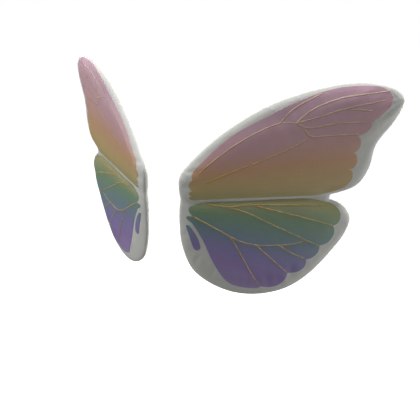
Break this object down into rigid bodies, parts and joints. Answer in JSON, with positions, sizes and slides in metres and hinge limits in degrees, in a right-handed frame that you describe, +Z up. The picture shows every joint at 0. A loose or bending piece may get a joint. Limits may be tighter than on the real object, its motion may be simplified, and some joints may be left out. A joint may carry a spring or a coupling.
{
  "type": "fairy wings",
  "caption": "Padded butterfly costume wings in pearl cloth with rainbow film panels and gold cord veins, each folding on an upright hinge of a clear back yoke.",
  "frame": {"origin": "centre of the yoke's flat face that lies against the wearer's back, level with the waist seam between forewing and hindwing", "axes": "+Z up, +X to the wearer's left and across both wings, +Y away from the wearer's back; the wings sweep back towards +Y"},
  "size_m": [0.6084, 0.1631, 0.3312],
  "materials": {
    "pearl_cover": "pearl white satin over foam, soft sheen",
    "foam": "open-cell upholstery foam",
    "spring_wire": "drawn spring steel",
    "clear_plastic": "clear polished polycarbonate",
    "sunset_film": "printed film, rose to amber to olive, satin",
    "lagoon_film": "printed film, green to teal to violet, satin",
    "violet_film": "printed film, violet, satin",
    "blush_cord": "thin couched cord, tone on tone",
    "gold_cord": "metallic gold embroidery cord"
  },
  "bodies": {
    "yoke": {"yoke": "clear_plastic", "left_hinge_pin": "clear_plastic", "left_pin_cap": "clear_plastic", "right_hinge_pin": "clear_plastic", "right_pin_cap": "clear_plastic"},
    "left_wing": {"left_hinge_leaf": "clear_plastic", "left_forewing_wire": "spring_wire", "left_hindwing_wire": "spring_wire", "left_forewing_pad": "foam", "left_hindwing_pad": "foam", "left_front_cover": "pearl_cover", "left_front_forewing_panel": "sunset_film", "left_front_hindwing_panel": "lagoon_film", "left_front_spot_panel": "violet_film", "left_front_forewing_veins": "blush_cord", "left_front_hindwing_veins": "gold_cord", "left_rear_cover": "pearl_cover", "left_rear_forewing_panel": "sunset_film", "left_rear_hindwing_panel": "lagoon_film", "left_rear_spot_panel": "violet_film", "left_rear_forewing_veins": "blush_cord", "left_rear_hindwing_veins": "gold_cord"},
    "right_wing": {"right_hinge_leaf": "clear_plastic", "right_forewing_wire": "spring_wire", "right_hindwing_wire": "spring_wire", "right_forewing_pad": "foam", "right_hindwing_pad": "foam", "right_front_cover": "pearl_cover", "right_front_forewing_panel": "sunset_film", "right_front_hindwing_panel": "lagoon_film", "right_front_spot_panel": "violet_film", "right_front_forewing_veins": "blush_cord", "right_front_hindwing_veins": "gold_cord", "right_rear_cover": "pearl_cover", "right_rear_forewing_panel": "sunset_film", "right_rear_hindwing_panel": "lagoon_film", "right_rear_spot_panel": "violet_film", "right_rear_forewing_veins": "blush_cord", "right_rear_hindwing_veins": "gold_cord"}
  },
  "joints": [
    {"name": "left_wing_fold", "type": "hinge", "parent": "yoke", "child": "left_wing", "pos_m": [0.0217, 0.006, 0], "axis": [0, 0, 1], "range_deg": [-28.5, 55]},
    {"name": "right_wing_fold", "type": "hinge", "parent": "yoke", "child": "right_wing", "pos_m": [-0.0217, 0.006, 0], "axis": [0, 0, -1], "range_deg": [-28.5, 55]}
  ]
}
